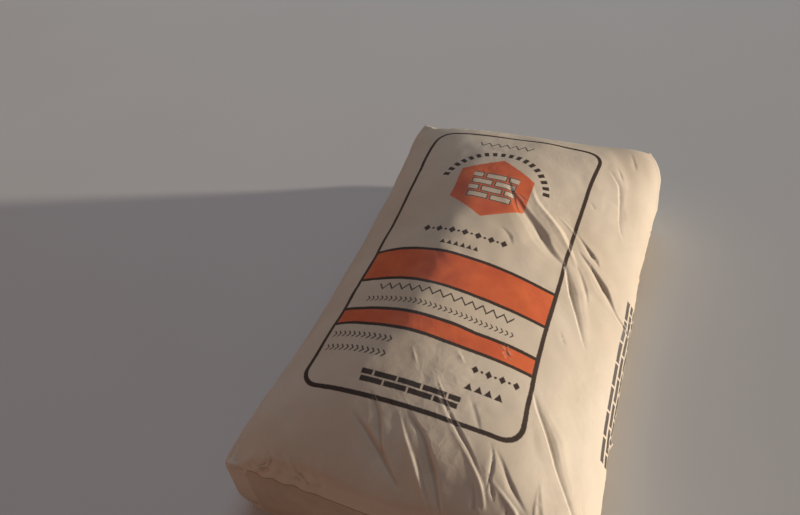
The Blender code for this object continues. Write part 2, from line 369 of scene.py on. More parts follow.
def section(shape, place):
    """The filled section's outline at a place along the sack, as x and z from the bottom's middle round."""
    end_share = min(abs(place) / (shape.long / 2), 1.0)
    fullness = 1 - end_share**shape.height_falloff
    roundness = 1 - end_share**shape.section_falloff
    spread = (shape.wide - shape.end_wide) / 2
    half_width = shape.end_wide / 2 + spread * (1 - end_share**shape.width_falloff)
    lift = shape.end_lift * max(0.0, (end_share - shape.foot_flat) / (1 - shape.foot_flat)) ** 2
    end_top = shape.end_lift + shape.end_high
    top = end_top + (shape.high - end_top) * fullness
    end_part = 1 / shape.end_squareness
    squareness = 1 / (end_part + (1 / shape.crown_squareness - end_part) * roundness)

    turn = np.linspace(0, math.pi / 2, SECTION_POINTS)
    foot_x = half_width * np.sin(turn) ** (2 / shape.foot_squareness)
    foot_depth = shape.belly + shape.foot_pressed - lift
    foot_z = shape.belly - foot_depth * np.cos(turn) ** (2 / shape.foot_squareness)
    foot_z = np.maximum(foot_z, lift)
    crown_x = half_width * np.cos(turn) ** (2 / squareness)
    crown_z = shape.belly + (top - shape.belly) * np.sin(turn) ** (2 / squareness)

    right_x = np.concatenate([foot_x, crown_x[1:]])
    right_z = np.concatenate([foot_z, crown_z[1:]])
    x = np.concatenate([right_x, -right_x[-2::-1]])
    z = np.concatenate([right_z, right_z[-2::-1]])
    leaning = np.where(z > shape.belly, shape.ridge_shift * (1 - (x / half_width) ** 2) * fullness, 0.0)
    return x + leaning, z


def across_of(x, z, wide, deep):
    """How far round the paper a point of the flat sack's wall lies from the middle of its printed face."""
    half = wide / 2
    below = np.where(x >= 0, 2 * half + deep - x, -2 * half - deep - x)
    walls = [z > deep - TINY, x > half - TINY, x < TINY - half]
    return np.select(walls, [x, half + deep - z, z - deep - half], below)


def follow(places, points):
    """How far each place lies from a line, negative on its left, and how far along it, with its length."""
    nearest = np.full(len(places), np.inf)
    signed = np.zeros(len(places))
    run = np.zeros(len(places))
    start = 0.0
    for first, second in zip(points, points[1:]):
        span = math.dist(first, second)
        way = (np.array(second) - first) / span
        offset = places - first
        along = np.clip(offset @ way, 0, span)
        away = offset - along[:, None] * way
        far = np.hypot(away[:, 0], away[:, 1])
        side = np.where(offset[:, 0] * way[1] < offset[:, 1] * way[0], -1, 1)
        closer = far < nearest
        nearest = np.where(closer, far, nearest)
        signed = np.where(closer, far * side, signed)
        run = np.where(closer, start + along, run)
        start += span
    return signed, run, start


def crease_lines(paper):
    """The tube's long creases and its block bottoms' diagonals, as (points, how far each stands out)."""
    crease = (paper.wide + paper.deep) / 2
    meeting = (paper.long - paper.deep) / 2
    lines = []
    for side in (-1, 1):
        places = (-meeting, -MIDDLE_CREASE_REACH, MIDDLE_CREASE_REACH, meeting)
        heights = (CORNERS[side, -1][1], MIDDLE_CREASE, MIDDLE_CREASE, CORNERS[side, 1][1])
        lines.append(([(side * crease, place) for place in places], heights))
        for end in (-1, 1):
            corner_height, meeting_height = CORNERS[side, end]
            joint = (side * crease, end * meeting)
            corner = (side * paper.wide / 2, end * paper.long / 2)
            under = (side * (paper.wide / 2 + paper.deep), end * paper.long / 2)
            lines.append(([corner, joint], (corner_height, meeting_height)))
            lines.append(([under, joint], (UNDER_CORNER, meeting_height)))
    return lines


def crease_height(paper, places, reach, curve):
    """How far the sack's own fold lines raise each place of the paper."""
    lowest = np.zeros(len(places))
    highest = np.zeros(len(places))
    for points, heights in crease_lines(paper):
        signed, run, _ = follow(places, points)
        steps = [math.dist(first, second) for first, second in zip(points, points[1:])]
        stops = np.concatenate([[0.0], np.cumsum(steps)])
        height = np.interp(run, stops, heights) * np.clip(1 - abs(signed) / reach, 0, 1) ** curve
        lowest = np.minimum(lowest, height)
        highest = np.maximum(highest, height)
    return (lowest + highest) * MM


def creased_section(shape, paper, place):
    """The section's outline with the sack's own fold lines standing out, and the paper used so far."""
    x, z = section(shape, place)
    run = np.concatenate([[0.0], np.cumsum(np.hypot(np.diff(x), np.diff(z)))])
    across = (0.5 - run / run[-1]) * 2 * (paper.wide + paper.deep)
    along = np.full(len(run), place * paper.long / shape.long)
    height = crease_height(paper, np.stack([across, along], 1), CREASE_REACH, CREASE_CURVE)
    way_x = np.gradient(x, run)
    way_z = np.gradient(z, run)
    steep = np.maximum(np.hypot(way_x, way_z), TINY)
    return x + height * way_z / steep, np.maximum(z - height * way_x / steep, 0.0), run


def fill(shape, paper, flat):
    """Where each point of the flat sack lies once it is filled."""
    filled = np.empty_like(flat)
    round_paper = 2 * (paper.wide + paper.deep)
    rows = np.round(flat[:, 1] / TINY).astype(int)
    for row in np.unique(rows):
        chosen = np.flatnonzero(rows == row)
        x, y, z = flat[chosen].T
        place = y * shape.long / paper.long
        outline_x, outline_z, run = creased_section(shape, paper, place[0])
        middle_z = (outline_z.max() + outline_z.min()) / 2

        # A point inside an end face keeps its share of the way from the face's middle to its rim
        u = x / (paper.wide / 2)
        v = (z - paper.deep / 2) / (paper.deep / 2)
        share = np.maximum(np.maximum(np.abs(u), np.abs(v)), TINY)
        rim_x = u / share * paper.wide / 2
        rim_z = (1 + v / share) * paper.deep / 2
        rim = across_of(rim_x, rim_z, paper.wide, paper.deep)
        stop = (0.5 - rim / round_paper) * run[-1]
        bulge = np.sign(y) * shape.end_bulge * (1 - u**2) * (1 - v**2) * (share < 1 - TINY)
        filled[chosen, 0] = ENDS_MIDDLE.x + np.interp(stop, run, outline_x) * share
        filled[chosen, 1] = place + bulge
        filled[chosen, 2] = middle_z + (np.interp(stop, run, outline_z) - middle_z) * share
    return filled


def swell_height(places):
    """How far the cement's broad swells raise each place of the paper."""
    height = np.zeros(len(places))
    for middle, high, reach in SWELLS:
        away = (places[:, :2] - middle) / reach
        height += high * MM * np.exp(-(away**2).sum(1) / 2)
    return height


def numbers(collection, name, width=3):
    """The values of one property of every item of a mesh, as a row for each item."""
    values = np.empty(len(collection) * width)
    collection.foreach_get(name, values)
    return values.reshape(-1, width)


def paper_places(data):
    """Where each point of the sack lies on the unfolded paper, and whether it is on an end."""
    return numbers(data.attributes["paper_place"].data, "vector")


def edge_ends(data):
    """The two points of each edge of a mesh."""
    return numbers(data.edges, "vertices", 2).astype(int)


def finished_mesh(mesh, name):
    """A named mesh with what was modelled, which is then freed."""
    data = bpy.data.meshes.new(name)
    mesh.to_mesh(data)
    mesh.free()
    return data


def add_object(name, data):
    item = bpy.data.objects.new(name, data)
    bpy.context.scene.collection.objects.link(item)
    return item


def cut_cells(mesh, axis, cell):
    """Cuts every edge that runs along one axis into cells of about one size."""
    edges = []
    for edge in mesh.edges:
        span = abs(edge.verts[0].co[axis] - edge.verts[1].co[axis])
        if span > TINY:
            edges.append(edge)
    cuts = 2 * round(span_of(mesh, axis) / cell / 2) - 1
    bmesh.ops.subdivide_edges(mesh, edges=edges, cuts=cuts, use_grid_fill=True)


def span_of(mesh, axis):
    places = [vertex.co[axis] for vertex in mesh.verts]
    return max(places) - min(places)


def mark_block_bottoms(mesh, paper):
    """Keeps the edges of the two ends and the tube's long creases crisp when the mesh is smoothed."""
    crisp = mesh.edges.layers.float.new("crease_edge")
    for edge in mesh.edges:
        places = [vertex.co for vertex in edge.verts]
        at_side = all(abs(abs(place.x) - paper.wide / 2) < TINY for place in places)
        at_level = all(min(place.z, paper.deep - place.z) < TINY for place in places)
        at_end = all(abs(abs(place.y) - paper.long / 2) < TINY for place in places)
        at_crease = all(abs(place.z - paper.deep / 2) < TINY for place in places)
        if at_end and (at_side or at_level):
            edge[crisp] = END_CRISPNESS
        elif at_side and at_crease:
            edge[crisp] = CREASE_CRISPNESS * abs(places[0].y) / (paper.long / 2)


def make_flat_sack(paper):
    """The empty sack opened to a box of even cells, with paper coordinates as a UV map and an attribute."""
    mesh = bmesh.new()
    bmesh.ops.create_cube(mesh, size=1.0)
    bmesh.ops.scale(mesh, vec=(paper.wide, paper.long, paper.deep), verts=mesh.verts)
    bmesh.ops.translate(mesh, vec=(0, 0, paper.deep / 2), verts=mesh.verts)
    for axis in range(3):
        cut_cells(mesh, axis, paper.cell)

    mark_block_bottoms(mesh, paper)
    place = mesh.loops.layers.uv.new("paper")
    kept = mesh.verts.layers.float_vector.new("paper_place")
    for face in mesh.faces:
        middle = face.calc_center_median()
        on_end = abs(middle.y) > paper.long / 2 - TINY
        for loop in face.loops:
            x, y, z = loop.vert.co
            if on_end:
                across = x
                along = math.copysign(paper.long / 2 + paper.deep - z, y)
            else:
                nudged = x + math.copysign(TINY, middle.x) if abs(x) < TINY else x
                across = float(across_of(nudged, z, paper.wide, paper.deep))
                along = y
            loop[place].uv = (across, along)
            if not on_end or loop.vert[kept].length == 0:
                loop.vert[kept] = (across, along, float(on_end))
    return add_object("flat_sack", finished_mesh(mesh, "flat_sack"))


def hold_weight(paper, spot, place):
    """How firmly one point of the paper is held: well on the printed face, loosely near the end folds."""
    across_share = (FIRM_ACROSS - abs(place[0] - FIRM_MIDDLE)) / FADE_ACROSS
    along_share = (FIRM_ALONG - abs(place[1])) / FADE_ALONG
    face = min(max(across_share, 0.0), 1.0) * min(max(along_share, 0.0), 1.0)
    patchy = math.exp(paper.hold_variation * noise.noise(Vector(spot) * HOLD_PATCHES + HOLD_START))
    return min(paper.hold * patchy + paper.face_hold * face, 1.0)


def crease_by_filling(sack, paper, filled):
    """The points of the flat sack, filled by simulation, so that its spare paper gathers into wrinkles."""
    scene = bpy.context.scene
    bpy.context.view_layer.objects.active = sack
    sack.shape_key_add(name="Basis")
    key = sack.shape_key_add(name="filled")
    key.data.foreach_set("co", filled.ravel())
    key.value = 0.0
    key.keyframe_insert("value", frame=1)
    key.value = 1.0
    key.keyframe_insert("value", frame=1 + FILLING_FRAMES)

    places = paper_places(sack.data)
    held = sack.vertex_groups.new(name="held")
    for index, spot in enumerate(filled):
        weight = 1.0 if spot[2] < FLOOR_BAND else hold_weight(paper, spot, places[index])
        held.add([index], weight, "REPLACE")

    cloth = sack.modifiers.new("paper", "CLOTH")
    for setting, value in CLOTH_SETTINGS.items():
        setattr(cloth.settings, setting, value)
    cloth.settings.bending_stiffness = paper.stiffness
    cloth.settings.effector_weights.gravity = 0.0
    cloth.collision_settings.use_collision = False
    cloth.point_cache.frame_start = 1
    cloth.point_cache.frame_end = paper.steps
    for step in range(1, paper.steps + 1):
        scene.frame_set(step)

    shown = sack.evaluated_get(bpy.context.evaluated_depsgraph_get())
    creased = numbers(shown.to_mesh().vertices, "co")
    shown.to_mesh_clear()
    sack.modifiers.remove(cloth)
    sack.shape_key_clear()
    for action in list(bpy.data.actions):
        bpy.data.actions.remove(action)
    scene.frame_set(1)
    return creased


def neighbour_mean(points, edges):
    """The mean of each point's neighbours."""
    total = np.zeros_like(points)
    count = np.zeros(len(points))
    for first, second in ((0, 1), (1, 0)):
        np.add.at(total, edges[:, first], points[edges[:, second]])
        np.add.at(count, edges[:, first], 1)
    return total / count[:, None]


def relaxed(points, edges, passes):
    """The points after some passes of smoothing."""
    for _ in range(passes):
        points = (points + neighbour_mean(points, edges)) / 2
    return points


def settle(paper, filled, creased, edges):
    """Keeps the creased paper near the cement and off the floor, and sharpens its wrinkles."""
    moved = creased - filled
    moved = moved - paper.tautness * relaxed(moved, edges, BROAD_PASSES)
    moved = moved + paper.crispness * (moved - relaxed(moved, edges, SHARP_PASSES))
    far = np.linalg.norm(moved, axis=1, keepdims=True)
    moved *= paper.slack * np.tanh(far / paper.slack) / np.maximum(far, TINY)
    settled = filled + moved
    settled[:, 2] = np.maximum(settled[:, 2], 0.0)
    return settled


def rounded(points):
    """A line with its corners cut."""
    points = [np.array(point) for point in points]
    for _ in range(CORNER_CUTS):
        cut = [points[0]]
        for first, second in zip(points, points[1:]):
            for share in (CUT_SHARE, 1 - CUT_SHARE):
                cut.append(first * (1 - share) + second * share)
        points = [*cut, points[-1]]
    return points


def fold_height(places, points, depth, wide):
    """How far one fold raises each place of the paper."""
    signed, run, whole = follow(places, rounded(points))
    share = run / whole
    taper = np.minimum(share / FOLD_PEAK, (1 - share) / (1 - FOLD_PEAK))
    spread = wide * MM * (FOLD_TIP + (1 - FOLD_TIP) * taper)
    return depth * MM * taper * np.interp(signed / spread, FOLD_PROFILE_AT, FOLD_PROFILE_HEIGHT)


def scattered_folds(paper):
    """Folds that run in from the end folds and across the sides, placed by a seeded rule."""
    random = np.random.default_rng(FOLD_SEED)
    folds = []
    rim = paper.long / 2 - END_FOLD_MARGIN
    for end, (gap_start, gap_stop) in END_FOLD_GAP.items():
        for across in END_FOLD_PLACES:
            if gap_start < across < gap_stop:
                continue
            start = across + random.uniform(*END_FOLD_SHIFT)
            reach = random.uniform(*END_FOLD_REACH)
            drift = random.uniform(*END_FOLD_SLANT) * reach
            depth = random.uniform(*END_FOLD_DEPTH) * random.choice([-1, 1])
            points = [(start, end * rim), (start + drift, end * (rim - reach))]
            folds.append((points, depth, random.uniform(*SCATTERED_WIDTH)))
        for side in (-1, 1):
            for along in SIDE_FOLD_PLACES:
                start = random.uniform(*SIDE_FOLD_START)
                reach = random.uniform(*SIDE_FOLD_REACH)
                drift = random.uniform(*SIDE_FOLD_DRIFT)
                depth = random.uniform(*SIDE_FOLD_DEPTH) * random.choice([-1, 1])
                points = [(side * start, end * along), (side * (start + reach), end * along + drift)]
                folds.append((points, depth, random.uniform(*SCATTERED_WIDTH)))
    return folds


def crumple_height(spot):
    """How far crumpling raises one place of the paper: flat facets with narrow valleys between them."""
    sway = noise.noise_vector(spot * CRUMPLE_SWAY_SCALE) * CRUMPLE_SWAY
    patch = CRUMPLE_CONTRAST * (noise.noise(spot * CRUMPLE_PATCHES) + CRUMPLE_LEVEL)
    height = 0.0
    for size, share in CRUMPLE_LAYERS:
        distances = noise.voronoi(spot / (CRUMPLE_FACET * size) + sway)[0]
        height += share * size * min(distances[1] - distances[0], CRUMPLE_VALLEY)
    return CRUMPLE * MM * height * min(max(patch, CRUMPLE_LEAST), 1.0)


def flap_edge(paper, places):
    """How far each place of an end lies inside its top and bottom flaps, whose edges start at the corners."""
    from_side = paper.wide / 2 - abs(places[:, 0])
    up = paper.long / 2 + paper.deep - abs(places[:, 1])
    from_level = paper.deep / 2 - abs(up - paper.deep / 2)
    return from_side - from_level


def paper_relief(data, paper):
    """How far the folds raise each point of the paper, and how much relief there is round about it."""
    places = paper_places(data)
    on_end = places[:, 2] > 0.5
    inside = flap_edge(paper, places)
    spots = [Vector((*place[:2], WANDER_SLICE)) * WANDER_SCALE for place in places]
    sway = np.array([noise.noise_vector(spot)[:2] for spot in spots])
    places = places[:, :2] + WANDER * sway
    share, reach = CREASE_LINE
    height = share * crease_height(paper, places, reach, 1.0)
    busy = abs(height)
    face_folds = [(np.array(points) * MM, depth, wide) for points, depth, wide in FACE_FOLDS]
    for points, depth, wide in face_folds + scattered_folds(paper):
        fold = fold_height(places, points, depth, wide)
        height += fold
        busy = np.maximum(busy, abs(fold))
    flaps = FLAP_STEP * MM * (np.clip(inside / FLAP_BLUR + 0.5, 0, 1) - 1)
    height = np.where(on_end, flaps, height)
    busy = np.where(on_end, np.where(abs(inside) < FLAP_ZONE, FLAP_STEP * MM, 0.0), busy)
    return height, busy


def refine(data, paper):
    """Halves the cells where the paper is folded, and joins those of the flat underside."""
    _, busy = paper_relief(data, paper)
    folded = (busy > FINE_RELIEF * MM) & (numbers(data.vertices, "co")[:, 2] > UNDERSIDE)
    mesh = bmesh.new()
    mesh.from_mesh(data)
    edges = [edge for edge in mesh.edges if folded[edge.verts[0].index] and folded[edge.verts[1].index]]
    bmesh.ops.subdivide_edges(mesh, edges=edges, cuts=1, use_grid_fill=True)
    plain = [vertex for vertex in mesh.verts if vertex.co.z < UNDERSIDE]
    bmesh.ops.unsubdivide(mesh, verts=plain, iterations=2)
    mesh.to_mesh(data)
    mesh.free()


def raise_folds(data, paper):
    """Presses the folds into the finished mesh, along its normals."""
    spots = numbers(data.vertices, "co")
    normals = numbers(data.vertex_normals, "vector")
    height, _ = paper_relief(data, paper)
    height += np.array([crumple_height(Vector(spot)) for spot in spots])
    height *= np.clip(spots[:, 2] / RELIEF_RISE, 0, 1)
    height = (2 * height[:, None] + neighbour_mean(height[:, None], edge_ends(data))) / 3
    data.vertices.foreach_set("co", (spots + normals * height).ravel())
    data.update()


def mark_wear_and_shade(data):
    """Stores how sharply the paper bends at each point, for scuffed ridges and for the painted shade, with
    some dust, in the valleys.
    """
    spots = numbers(data.vertices, "co")
    edges = edge_ends(data)
    normals = numbers(data.vertex_normals, "vector")
    steps = np.linalg.norm(spots[edges[:, 0]] - spots[edges[:, 1]], axis=1)
    cell = np.full(len(spots), FULL_CELL)
    for side in (0, 1):
        np.minimum.at(cell, edges[:, side], steps)
    bend = ((spots - neighbour_mean(spots, edges)) * normals).sum(1)[:, None]
    bend = relaxed(bend * (FULL_CELL / np.maximum(cell, FULL_CELL / 3))[:, None] ** 2, edges, 1)
    wear_and_shade = data.attributes.new("wear_and_shade", "FLOAT", "POINT")
    wear_and_shade.data.foreach_set("value", bend.ravel() / MM)


# The print: how soft an ink edge is, and where the two bands start and stop along the sack
INK_BLUR = 0.0005
BANDS = [(-0.005, -0.061), (-0.113, -0.1395)]

# The motifs' shapes: slopes, and shares of a row's height, of its pitch or of its line
DIAMOND_SLOPE = 1.3
DIAMOND_MARGIN = 0.2
DOT_RADIUS = 0.15
ZIGZAG_WEIGHT = 0.6
TOOTH_HALF_BASE = 0.42
CHEVRON_LEAN = 0.8

# The badge: its wall and bricks in shares of its half width, then the arc of ticks above it
HEXAGON_TURN = math.radians(60)
BADGE_WALL = (1.24, 1.08)
BADGE_BRICK = (0.62, 0.27)
BADGE_JOINT = 0.0028
BADGE_OUTLINE_PLACE = 0.0022
BADGE_OUTLINE = 0.0016
ARC_RADIUS = 1.42
ARC_START = 0.16
ARC_STOP = 2.98
TICKS_ROUND = 40
TICK_SHARE = 0.54
TICK_LONG = 0.010

# Noise of the papers, as (scale, detail, roughness), and the way their fibres run
SACK_MOTTLE = (26.0, 4.0, 0.6)
PATCH_MOTTLE = (30.0, 4.0, 0.6)
FIBRES = (700.0, 4.0, 0.7)
FINE_FIBRES = (900.0, 3.0, 0.65)
SACK_FIBRE_WAY = (1.0, 0.3, 1.0)
PATCH_FIBRE_WAY = (0.3, 1.0, 1.0)
FINE_FIBRE_WAY = (1.0, 0.35, 1.0)

# Patches, as (scale, detail, roughness, noise where they start, noise where they are full)
PALE_PATCHES = (7.0, 3.0, 0.5, 0.35, 0.68)
DIRTY_PATCHES = (16.0, 4.0, 0.6, 0.25, 0.75)
DUST_SPECKS = (60.0, 5.0, 0.7, 0.62, 0.8)
CRUMPLED_PATCHES = (9.0, 1.0, 0.5, 0.42, 0.72)
PINHOLES = (1500.0, 2.0, 0.5, 0.25, 0.42)
SCUFFS = (300.0, 3.0, 0.5, 0.35, 0.65)
WEAK_INK = (35.0, 3.0, 0.5, 0.3, 0.7)
PATCH_DUST = (22.0, 5.0, 0.7, 0.5, 0.8)
FLOOR_PATCHES = (1.5, 3.0, 0.5, 0.2, 0.8)

# Second colours that the finishes vary towards
PALE_PAPER = (0.66, 0.55, 0.43)
PALE_PATCH = (0.56, 0.44, 0.32)
PATCH_DUST_COLOUR = (0.34, 0.30, 0.26)
SCUFFED_PAPER = (0.78, 0.68, 0.56)
DARK_ORANGE = (0.60, 0.105, 0.035)
PALE_FLOOR = (0.74, 0.72, 0.69)

# How far the ink's edges stray, the noise's middle being half, the bend at which valleys and ridges start
# and are full, and the height over the floor up to which the sides are dusty
STRAY_SCALE = 420.0
STRAY = (0.0012, 0.0012, 0.0)
MINUS_HALF = (-0.5, -0.5, -0.5)
VALLEY_BEND = (-0.10, -0.40)
RIDGE_BEND = (0.12, 0.45)
DUSTY_HEIGHT = 0.075

# How bright the bare papers are, how much their mottle, their fibres and the seam's edge change that, and the
# noise at which a patch's paper starts to be pale and is palest
SACK_SHADE = 0.86
MOTTLE_SHADE = 0.16
FIBRE_SHADE = 0.10
SEAM_SHADE = 0.25
PATCH_SHADE = 0.84
PATCH_MOTTLE_SHADE = 0.14
PATCH_FIBRE_SHADE = 0.14
PALE_PATCH_NOISE = (0.3, 0.7)

# How thick the dust lies low on the sides, how dark the painted shade with dust in the valleys is, how thick
# the specks lie, the most of these together, and how thick the dust lies on the patches
LOW_DUST = 0.45
VALLEY_DUST_AND_SHADE = 0.35
SPECK_DUST = 0.10
DUST_MOST = 0.8
DUST_ON_PATCH = 0.35

# How much ink pinholes and scuffed ridges take away, and how pale a ridge gets
PINHOLE_SHARE = 0.10
SCUFF_SHARE = 0.55
RIDGE_PALENESS = 0.25

# Roughness of the papers, and how much their mottle, the ink and the dust change it
SACK_ROUGHNESS = 0.60
MOTTLE_ROUGHNESS = 0.12
INK_ROUGHNESS = 0.12
DUST_ROUGHNESS = 0.15
PATCH_ROUGHNESS = 0.58
PATCH_MOTTLE_ROUGHNESS = 0.14

# The fine crumple in the bump: its warp, its coarse and fine cells as (scale, height), and how high it is in
# the crumpled patches and elsewhere
CRUMPLE_WARP = 18.0
CRUMPLE_WARP_REACH = (0.03, 0.03, 0.03)
COARSE_CELLS = (30.0, 2.0)
FINE_CELLS = (75.0, 1.1)
PATCH_CRUMPLE = 0.45
LEAST_CRUMPLE = 0.05

# The sharpest bend that the bump shows, the height of its other parts in millimetres, and its strength on the
# sack and on the patches
SHARPEST_BEND = 0.3
BEND_BUMP = 0.3
FIBRE_BUMP = 0.10
SEAM_BUMP = 0.4
SACK_BUMP = 0.9
PATCH_BUMP = 0.8

# How strongly both papers shine
PAPER_SPECULAR = 0.35


def maths(operation):
    """A method that adds a Math node to a wire, with any further values in the node's other sockets."""
    return lambda wire, *values: wire.node("Math", {"operation": operation}, dict(enumerate((wire, *values))))


class Wire:
    """A socket of a material's nodes. Arithmetic on wires adds the Math nodes that it needs."""

    __add__ = __radd__ = maths("ADD")
    __sub__ = maths("SUBTRACT")
    __mul__ = __rmul__ = maths("MULTIPLY")
    __truediv__ = maths("DIVIDE")
    __pow__ = maths("POWER")
    __abs__ = maths("ABSOLUTE")
    low = maths("MINIMUM")
    high = maths("MAXIMUM")
    fraction = maths("FRACT")
    whole = maths("FLOOR")
    remainder = maths("MODULO")
    angle = maths("ARCTAN2")

    def __init__(self, tree, socket=None):
        self.tree = tree
        self.socket = socket

    def __rsub__(self, other):
        return self.node("Math", {"operation": "SUBTRACT"}, {0: other, 1: self})

    def node(self, kind, settings=None, inputs=None, output=0):
        """Adds a node of any type: its settings come first, then the values or links of its sockets."""
        node = self.tree.nodes.new("ShaderNode" + kind)
        for name, value in (settings or {}).items():
            setattr(node, name, value)
        for name, value in (inputs or {}).items():
            if isinstance(value, Wire):
                self.tree.links.new(value.socket, node.inputs[name])
            else:
                node.inputs[name].default_value = value
        return Wire(self.tree, node.outputs[output])

    def part(self, axis):
        """One of the three numbers of a vector."""
        return self.node("SeparateXYZ", None, {0: self}, output=axis)

    def ramp(self, start, stop):
        """0 below start, 1 above stop and a straight rise between them. Start may be the higher one."""
        return self.node("MapRange", {"clamp": True}, {0: self, 1: start, 2: stop})

    def inside(self, blur=INK_BLUR):
        """1 where a signed distance is negative, with an edge as soft as ink on paper."""
        return self.ramp(blur, -blur)

    def mixed(self, first, second):
        """A colour that goes from first to second as this wire goes from 0 to 1."""
        first, second = [(*c, 1.0) if isinstance(c, tuple) else c for c in (first, second)]
        return self.node("Mix", {"data_type": "RGBA"}, {0: self, 6: first, 7: second}, output=2)

    def tinted(self, shade):
        """This colour made darker or brighter by a shade."""
        settings = {"data_type": "RGBA", "blend_type": "MULTIPLY"}
        return self.node("Mix", settings, {0: 1.0, 6: self, 7: shade}, output=2)

    def noise(self, scale, detail=2.0, roughness=0.5, output=0):
        """Noise read at these coordinates, about 0.5, or as a vector from the second output."""
        values = {"Vector": self, "Scale": scale, "Detail": detail, "Roughness": roughness}
        return self.node("TexNoise", None, values, output)

    def patches(self, scale, detail, roughness, start, stop):
        """Irregular patches, 1 where the noise is over stop and 0 where it is under start."""
        return self.noise(scale, detail, roughness).ramp(start, stop)

    def cracks(self, scale, height):
        """Height that grows with the distance to the nearest edge of random cells."""
        values = {"Vector": self, "Scale": scale}
        return self.node("TexVoronoi", {"feature": "DISTANCE_TO_EDGE"}, values) * height

    def stretched(self, vector):
        return self.node("VectorMath", {"operation": "MULTIPLY"}, {0: self, 1: vector})

    def moved(self, vector):
        return self.node("VectorMath", {"operation": "ADD"}, {0: self, 1: vector})


def new_material(name, specular):
    """A material with its Principled shader, and the object's coordinates, from which its nodes are made."""
    material = bpy.data.materials.new(name)
    material.use_nodes = True
    shader = material.node_tree.nodes["Principled BSDF"]
    shader.inputs["Metallic"].default_value = 0.0
    shader.inputs["Specular IOR Level"].default_value = specular
    return material, shader, Wire(material.node_tree).node("TexCoord", output=3)


def plug(shader, name, wire):
    wire.tree.links.new(wire.socket, shader.inputs[name])


def rounded_box(u, v, size, corner):
    """Signed distance to a rectangle with rounded corners."""
    across = abs(u) - (size[0] / 2 - corner)
    along = abs(v) - (size[1] / 2 - corner)
    outside = (across.high(0.0) ** 2 + along.high(0.0) ** 2) ** 0.5
    return outside + across.high(along).low(0.0) - corner


def row_box(u, v, size):
    """Signed distance to the rectangle that a row of motifs fills."""
    return (abs(u) - size[0] / 2).high(abs(v) - size[1] / 2)


def repeated(u, size, pitch):
    """Where each place of a row lies in its motif, from minus half a pitch to half a pitch."""
    return (((u + size[0] / 2) / pitch).fraction() - 0.5) * pitch


def brick_wall(u, v, size, brick, joint):
    """Signed distances to the bricks of a running bond and to the nearest joint between them."""
    course = (v + size[1] / 2) / brick[1]
    shift = course.whole().remainder(2.0) * 0.5
    place = (u + size[0] / 2) / brick[0] + shift
    joint_u = (0.5 - abs(place.fraction() - 0.5)) * brick[0]
    joint_v = (0.5 - abs(course.fraction() - 0.5)) * brick[1]
    near = joint_u.low(joint_v)
    box = row_box(u, v, size)
    return (joint / 2 - near).high(box), near, box


def brick_row(*sizes):
    """Signed distance to the bricks of a wall alone."""
    return brick_wall(*sizes)[0]


def diamond_row(u, v, size, pitch):
    """Signed distance to a row of diamonds with a dot between each two."""
    step = abs(repeated(u, size, pitch))
    diamonds = step * DIAMOND_SLOPE + abs(v) - size[1] / 2
    dots = ((pitch / 2 - step) ** 2 + v**2) ** 0.5 - size[1] * DOT_RADIUS
    ends = abs(u) - size[0] / 2 + pitch * DIAMOND_MARGIN
    return (diamonds / math.hypot(1, DIAMOND_SLOPE)).low(dots).high(ends)


def zigzag_row(u, v, size, pitch, line):
    """Signed distance to a zigzag line."""
    high = size[1] - line
    slope = 2 * high / pitch
    centre = abs(repeated(u, size, pitch)) * slope - high / 2
    zigzag = (abs(v - centre) - line * ZIGZAG_WEIGHT) / math.hypot(1, slope)
    return zigzag.high(abs(u) - size[0] / 2)


def tooth_row(u, v, size, pitch):
    """Signed distance to a row of upright triangles."""
    slope = size[1] / (pitch * TOOTH_HALF_BASE)
    teeth = (v - size[1] / 2 + abs(repeated(u, size, pitch)) * slope) / math.hypot(1, slope)
    return teeth.high(row_box(u, v, size))


def chevron_row(u, v, size, pitch, line):
    """Signed distance to a row of thin chevrons."""
    leaning = u + abs(v) * CHEVRON_LEAN
    chevrons = (abs(repeated(leaning, size, pitch)) - line / 2) / math.hypot(1, CHEVRON_LEAN)
    return chevrons.high(row_box(leaning, v, size))


# The rows of ornament, as (kind, middle on the paper, size), then the pitch of what repeats and its line's
# width, or a brick's size and the joint's width. The frieze of the sides has its length along the sack.
ORNAMENT = [
    (zigzag_row, (-0.013, 0.246), (0.084, 0.014), 0.014, 0.0028),
    (diamond_row, (-0.013, 0.037), (0.126, 0.013), 0.018),
    (tooth_row, (-0.014, 0.013), (0.054, 0.008), 0.009),
    (zigzag_row, (-0.005, -0.0755), (0.182, 0.012), 0.014, 0.0026),
    (chevron_row, (-0.005, -0.0965), (0.198, 0.008), 0.0066, 0.0020),
    (chevron_row, (-0.081, -0.158), (0.084, 0.009), 0.0070, 0.0022),
    (chevron_row, (-0.081, -0.179), (0.084, 0.009), 0.0070, 0.0022),
    (diamond_row, (0.085, -0.163), (0.066, 0.011), 0.0165),
    (tooth_row, (0.077, -0.186), (0.048, 0.009), 0.012),
    (brick_row, (-0.003, -0.2105), (0.116, 0.018), (0.029, 0.009), 0.0022),
]
SIDE_FRIEZE = ((-0.060, 0.248), (0.250, 0.030), (0.036, 0.010), 0.0032)


